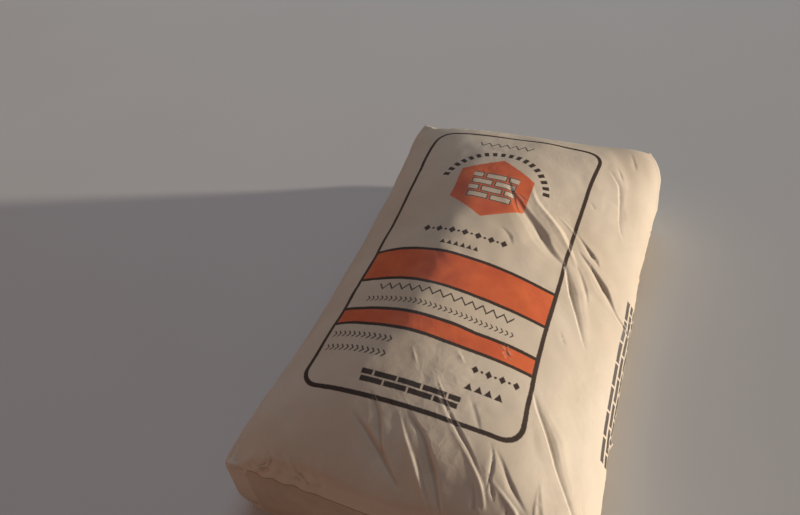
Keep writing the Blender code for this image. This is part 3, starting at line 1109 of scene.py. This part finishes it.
def badge_parts(u, v, look):
    """Signed distances to the hexagonal badge, the bricks laid in it, their outline and the arc of ticks."""
    p = u - look.centre
    q = v - look.badge_along
    slanted = abs(p) * math.cos(HEXAGON_TURN) + abs(q) * math.sin(HEXAGON_TURN)
    hexagon = abs(p).high(slanted) - look.badge
    wall = [share * look.badge for share in BADGE_WALL]
    brick = [share * look.badge for share in BADGE_BRICK]
    bricks, joint, box = brick_wall(p, q, wall, brick, BADGE_JOINT)
    outline = (abs(joint - BADGE_OUTLINE_PLACE) - BADGE_OUTLINE / 2).high(box)

    radius = ARC_RADIUS * look.badge
    turn = q.angle(p)
    ticks = abs((turn * (TICKS_ROUND / math.tau)).fraction() - 0.5) - TICK_SHARE / 2
    ticks = ticks * (math.tau * radius / TICKS_ROUND)
    ring = abs((p**2 + q**2) ** 0.5 - radius) - TICK_LONG / 2
    ends = (ARC_START - turn).high(turn - ARC_STOP) * radius
    return hexagon, bricks, outline, ticks.high(ring).high(ends)


def face_print(u, v, look):
    """Where orange and brown ink lie on the paper, and where the badge's bricks and their outline are."""
    from_middle = u - look.centre
    from_centre = v - (look.top + look.bottom) / 2
    frame_shape = rounded_box(from_middle, from_centre, (look.wide, look.top - look.bottom), look.corner)
    within = abs(from_middle) - look.wide / 2
    hexagon, bricks, outline, brown = badge_parts(u, v, look)
    orange = hexagon
    brown = brown.low(abs(frame_shape) - look.line / 2)
    for top, bottom in BANDS:
        band = abs(v - (top + bottom) / 2) - (top - bottom) / 2
        orange = orange.low(band.high(within))
        brown = brown.low((abs(band) - look.rule / 2).high(within))
    for make_row, middle, *sizes in ORNAMENT:
        brown = brown.low(make_row(u - middle[0], v - middle[1], *sizes))
    middle, *sizes = SIDE_FRIEZE
    brown = brown.low(brick_row(v - middle[0], abs(u) - middle[1], *sizes))
    return orange.inside(), brown.inside(), bricks.inside(), outline.inside()


def paper_bump(spot, wear_and_shade, strength, seam=0.0):
    """The paper's fine relief: fibres, small crumples in patches, crisp lines of hard folds and a seam."""
    fibre = spot.stretched(FINE_FIBRE_WAY).noise(*FINE_FIBRES)
    warped = spot.moved(spot.noise(CRUMPLE_WARP, output=1).stretched(CRUMPLE_WARP_REACH))
    crumple = warped.cracks(*COARSE_CELLS) - warped.cracks(*FINE_CELLS)
    crumple = crumple * (spot.patches(*CRUMPLED_PATCHES) * PATCH_CRUMPLE + LEAST_CRUMPLE)
    crisp = wear_and_shade.high(-SHARPEST_BEND).low(SHARPEST_BEND)
    height = fibre * FIBRE_BUMP + crumple + crisp * BEND_BUMP + seam
    return spot.node("Bump", None, {"Strength": strength, "Distance": MM, "Height": height})


def make_sack_paper(paper, look):
    """Semi-bleached kraft paper with the print, the tube's seam, cement dust, painted shade in the valleys of
    its creases and scuffed creases.
    """
    material, shader, spot = new_material("sack_paper_printed", PAPER_SPECULAR)
    flat = spot.node("UVMap", {"uv_map": "paper"})
    # The bend marks scuffed ridges, the painted shade of the valleys and the bump's crisp lines.
    wear_and_shade = spot.node("Attribute", {"attribute_name": "wear_and_shade"}, output=2)
    stray = spot.noise(STRAY_SCALE, output=1).moved(MINUS_HALF).stretched(STRAY)
    inked = flat.moved(stray)
    u = inked.part(0)
    orange, brown, bricks, outline = face_print(u, inked.part(1), look)

    seam = abs(u - SEAM_PLACE) - SEAM_WIDTH / 2
    seam_edge = (abs(seam) - SEAM_EDGE).inside()
    mottle = spot.noise(*SACK_MOTTLE)
    fibre = spot.stretched(SACK_FIBRE_WAY).noise(*FIBRES)
    shade = SACK_SHADE + MOTTLE_SHADE * mottle + FIBRE_SHADE * fibre - SEAM_SHADE * seam_edge
    bare = spot.patches(*PALE_PATCHES).mixed(tuple(paper.colour), PALE_PAPER).tinted(shade)
    low = spot.part(2).ramp(DUSTY_HEIGHT, 0.0) * spot.patches(*DIRTY_PATCHES)
    # Painted shade: the valleys of the creases are darkened towards the dust colour, partly as dust gathered
    # there and partly as the shade that falls in them.
    valley = wear_and_shade.ramp(*VALLEY_BEND)
    ridge = wear_and_shade.ramp(*RIDGE_BEND)
    specks = spot.patches(*DUST_SPECKS)
    # This dust mix carries the low dust, the specks and the painted shade of the valleys.
    dust = (low * LOW_DUST + valley * VALLEY_DUST_AND_SHADE + specks * SPECK_DUST).low(DUST_MOST)

    solid = spot.patches(*PINHOLES) * PINHOLE_SHARE + (1.0 - PINHOLE_SHARE)
    worn = 1.0 - ridge * spot.patches(*SCUFFS) * SCUFF_SHARE
    orange_share = orange * (1.0 - bricks) * solid * worn
    brown_share = brown.high(outline) * solid * worn
    orange_ink = spot.patches(*WEAK_INK).mixed(tuple(look.orange), DARK_ORANGE)
    colour = orange_share.mixed(bare, orange_ink)
    colour = brown_share.mixed(colour, tuple(look.brown))
    colour = (ridge * RIDGE_PALENESS).mixed(colour, SCUFFED_PAPER)
    colour = dust.mixed(colour, tuple(paper.dust_and_shade_colour))
    plug(shader, "Base Color", colour)
    ink = orange_share.high(brown_share)
    roughness = SACK_ROUGHNESS + MOTTLE_ROUGHNESS * mottle - INK_ROUGHNESS * ink + DUST_ROUGHNESS * dust
    plug(shader, "Roughness", roughness)
    plug(shader, "Normal", paper_bump(spot, wear_and_shade, SACK_BUMP, SEAM_BUMP * seam.inside(SEAM_EDGE)))
    return material


class CEMENTBAG_OT_sack(bpy.types.Operator):
    """Fill the paper sack, crease it and print its face"""

    bl_idname = "cementbag.sack"
    bl_label = "Filled Sack"

    def execute(self, context):
        noise.seed_set(NOISE_SEED)
        shape = context.scene.bag_shape
        paper = context.scene.bag_paper
        sack = make_flat_sack(paper)
        data = sack.data
        flat = numbers(data.vertices, "co")
        filled = fill(shape, paper, flat)
        filled[:, 2] += swell_height(paper_places(data))
        for index, spot in enumerate(filled):
            wide_lumps = noise.noise_vector(Vector(spot) * WIDE_LUMPS)
            small_lumps = noise.noise_vector(Vector(spot) * SMALL_LUMPS)
            filled[index] += paper.lumps * np.array(wide_lumps + SMALL_SHARE * small_lumps)
        creased = crease_by_filling(sack, paper, filled)
        data.vertices.foreach_set("co", settle(paper, filled, creased, edge_ends(data)).ravel())
        data.update()

        rounding = sack.modifiers.new("rounding", "SUBSURF")
        rounding.levels = 1
        rounding.render_levels = 1
        rounding.uv_smooth = "NONE"
        shown = sack.evaluated_get(context.evaluated_depsgraph_get())
        final = bpy.data.meshes.new_from_object(shown)
        bpy.data.objects.remove(sack)
        bpy.data.meshes.remove(data)
        final.name = "filled_sack"
        refine(final, paper)
        raise_folds(final, paper)
        mark_wear_and_shade(final)
        final.shade_smooth()
        final.materials.clear()
        final.materials.append(make_sack_paper(paper, context.scene.bag_print))
        filled_sack = add_object("filled_sack", final)
        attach(filled_sack, "root")
        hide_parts("sack")
        return {"FINISHED"}


def make_patch_paper(patch):
    """Unbleached kraft paper, mottled and a little dusty."""
    material, shader, spot = new_material("patch_paper_pasted", PAPER_SPECULAR)
    wear_and_shade = spot.node("Attribute", {"attribute_name": "wear_and_shade"}, output=2)
    mottle = spot.noise(*PATCH_MOTTLE)
    fibre = spot.stretched(PATCH_FIBRE_WAY).noise(*FIBRES)
    bare = mottle.ramp(*PALE_PATCH_NOISE).mixed(tuple(patch.colour), PALE_PATCH)
    bare = bare.tinted(PATCH_SHADE + PATCH_MOTTLE_SHADE * mottle + PATCH_FIBRE_SHADE * fibre)
    dust = spot.patches(*PATCH_DUST) * DUST_ON_PATCH
    plug(shader, "Base Color", dust.mixed(bare, PATCH_DUST_COLOUR))
    plug(shader, "Roughness", PATCH_ROUGHNESS + PATCH_MOTTLE_ROUGHNESS * mottle)
    plug(shader, "Normal", paper_bump(spot, wear_and_shade, PATCH_BUMP))
    return material


# How a patch is laid: from how far off, the width of its pasted rim, its lumps' scales, how far it lifts at
# its rim and on its lumps, in thicknesses of the paste, and the least angle of a sharp edge
PATCH_START = 0.1
PATCH_RIM = 0.012
PATCH_LUMPS = Vector((40.0, 5.0, 40.0))
RIM_LIFT = 0.2
LUMP_LIFT = 2.0
SHARP_ANGLE = math.radians(40)


def make_patch(patch, name, side, sack_tree, material):
    """One strip: a grid laid on the sack's end face, rounded at its corners, then given its thickness."""
    mesh = bmesh.new()
    cells_long = round(patch.long / patch.cell)
    cells_high = round(patch.high / patch.cell)
    bmesh.ops.create_grid(mesh, x_segments=cells_long, y_segments=cells_high, size=0.5)
    bmesh.ops.transform(mesh, matrix=Matrix.Rotation(math.pi / 2, 4, "X"), verts=mesh.verts)
    bmesh.ops.scale(mesh, vec=(patch.long, 1, patch.high), verts=mesh.verts)
    for vertex in mesh.verts:
        x, _, z = vertex.co
        over_x = abs(x) - (patch.long / 2 - patch.corner)
        over_z = abs(z) - (patch.high / 2 - patch.corner)
        if over_x > 0 and over_z > 0:
            share = max(over_x, over_z) / math.hypot(over_x, over_z)
            x = math.copysign(patch.long / 2 - patch.corner + over_x * share, x)
            z = math.copysign(patch.high / 2 - patch.corner + over_z * share, z)
        start = Vector((ENDS_MIDDLE.x + x, side * (SACK_HIGH.y + PATCH_START), ENDS_MIDDLE.z + z))
        hit = sack_tree.ray_cast(start, Vector((0, -side, 0)))[0]
        if hit is None:
            raise RuntimeError("the end face doesn't lie behind the whole patch")
        edge = min(patch.long / 2 - abs(x), patch.high / 2 - abs(z))
        inner = min(edge / PATCH_RIM, 1.0)
        lumps = 0.5 + noise.noise(Vector((x, side, z)) * PATCH_LUMPS)
        lift = patch.paste * (RIM_LIFT + LUMP_LIFT * inner * max(lumps, 0.0))
        vertex.co = (start.x, hit.y + side * lift, start.z)
    bmesh.ops.recalc_face_normals(mesh, faces=mesh.faces)
    if sum(face.normal.y for face in mesh.faces) * side < 0:
        bmesh.ops.reverse_faces(mesh, faces=mesh.faces)
    bmesh.ops.solidify(mesh, geom=mesh.faces[:], thickness=-patch.thick)
    bmesh.ops.recalc_face_normals(mesh, faces=mesh.faces)
    data = finished_mesh(mesh, name)
    data.shade_smooth()
    data.set_sharp_from_angle(angle=SHARP_ANGLE)
    data.materials.append(material)
    mark_wear_and_shade(data)
    return add_object(name, data)


class CEMENTBAG_OT_end_patches(bpy.types.Operator):
    """Paste a strip over the folds of each end"""

    bl_idname = "cementbag.end_patches"
    bl_label = "End Patches"

    def execute(self, context):
        patch = context.scene.bag_patch
        sack = bpy.data.objects["filled_sack"]
        sack_tree = BVHTree.FromObject(sack, context.evaluated_depsgraph_get())
        material = make_patch_paper(patch)
        for name, node, side in (("near_patch", "near_end_patch", -1), ("far_patch", "far_end_patch", 1)):
            strip = make_patch(patch, name, side, sack_tree, material)
            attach(strip, "root")
            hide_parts(node)
        return {"FINISHED"}


def make_floor(studio):
    mesh = bmesh.new()
    bmesh.ops.create_grid(mesh, x_segments=1, y_segments=1, size=studio.floor_size / 2)
    data = finished_mesh(mesh, "floor")
    material, shader, spot = new_material("pale_floor", 0.0)
    plug(shader, "Base Color", spot.patches(*FLOOR_PATCHES).mixed(tuple(studio.floor_colour), PALE_FLOOR))
    shader.inputs["Roughness"].default_value = 1.0
    data.materials.append(material)
    floor = add_object("floor", data)


def make_light(name, kind, place, **settings):
    """A light that shines at the bag."""
    light = bpy.data.lights.new(name, kind)
    for setting, value in settings.items():
        setattr(light, setting, value)
    lamp = add_object(name, light)
    lamp.location = place
    lamp.rotation_euler = place.to_track_quat("Z", "Y").to_euler()


def make_lights(studio):
    """A low key light with parallel rays, so that it lights the whole floor alike, and two wide soft ones."""
    key = {"energy": studio.key_strength, "angle": studio.key_spread, "color": studio.key_colour}
    sky = {"energy": studio.sky_power, "size": studio.sky_size, "color": studio.sky_colour}
    glow = {"energy": studio.glow_power, "size": studio.glow_size, "color": studio.glow_colour}
    make_light("key", "SUN", KEY_PLACE, **key)
    make_light("sky", "AREA", SKY_PLACE, **sky)
    make_light("glow", "AREA", GLOW_PLACE, **glow)


def make_camera():
    camera = add_object("camera", bpy.data.cameras.new("camera"))
    camera.data.sensor_width = SENSOR_WIDTH
    camera.data.lens = FOCAL_PIXELS / PICTURE_WIDTH * SENSOR_WIDTH
    turn = Matrix((CAMERA_RIGHT, CAMERA_UP, -CAMERA_LOOK)).transposed().to_4x4()
    camera.matrix_world = Matrix.Translation(CAMERA_PLACE + Vector((ENDS_MIDDLE.x, 0, 0))) @ turn
    bpy.context.scene.camera = camera


def make_world(studio):
    world = bpy.data.worlds.new("studio")
    world.use_nodes = True
    background = world.node_tree.nodes["Background"]
    background.inputs["Color"].default_value = (*studio.fill_colour, 1.0)
    background.inputs["Strength"].default_value = studio.fill_strength
    bpy.context.scene.world = world


class CEMENTBAG_OT_stage(bpy.types.Operator):
    """Set up the plain floor, the soft lights and the camera"""

    bl_idname = "cementbag.stage"
    bl_label = "Studio"

    def execute(self, context):
        studio = context.scene.bag_studio
        make_floor(studio)
        make_lights(studio)
        make_world(studio)
        make_camera()
        context.scene.view_settings.view_transform = "Standard"
        return {"FINISHED"}


class CEMENTBAG_PT_sidebar(bpy.types.Panel):
    """The bag's operators and their settings"""

    bl_label = "Cement Bag"
    bl_idname = "CEMENTBAG_PT_sidebar"
    bl_space_type = "VIEW_3D"
    bl_region_type = "UI"
    bl_category = "Cement Bag"

    def draw(self, context):
        scene = context.scene
        parts = [
            (CEMENTBAG_OT_sack, (scene.bag_shape, scene.bag_paper, scene.bag_print)),
            (CEMENTBAG_OT_end_patches, (scene.bag_patch,)),
            (CEMENTBAG_OT_stage, (scene.bag_studio,)),
        ]
        for operator, groups in parts:
            box = self.layout.box()
            box.operator(operator.bl_idname)
            for group in groups:
                for name in group.__annotations__:
                    box.prop(group, name)


GROUPS = {
    "bag_shape": FilledShape,
    "bag_paper": SackPaper,
    "bag_print": PrintedFace,
    "bag_patch": EndPatch,
    "bag_studio": Studio,
}
CLASSES = (
    *GROUPS.values(),
    CEMENTBAG_OT_sack,
    CEMENTBAG_OT_end_patches,
    CEMENTBAG_OT_stage,
    CEMENTBAG_PT_sidebar,
)


def register():
    for item in CLASSES:
        bpy.utils.register_class(item)
    for name, group in GROUPS.items():
        setattr(bpy.types.Scene, name, PointerProperty(type=group))


def unregister():
    for name in GROUPS:
        delattr(bpy.types.Scene, name)
    for item in reversed(CLASSES):
        bpy.utils.unregister_class(item)


def main():
    register()
    bpy.ops.cementbag.stage()
    bpy.ops.cementbag.sack()
    bpy.ops.cementbag.end_patches()


if __name__ == "__main__":
    main()
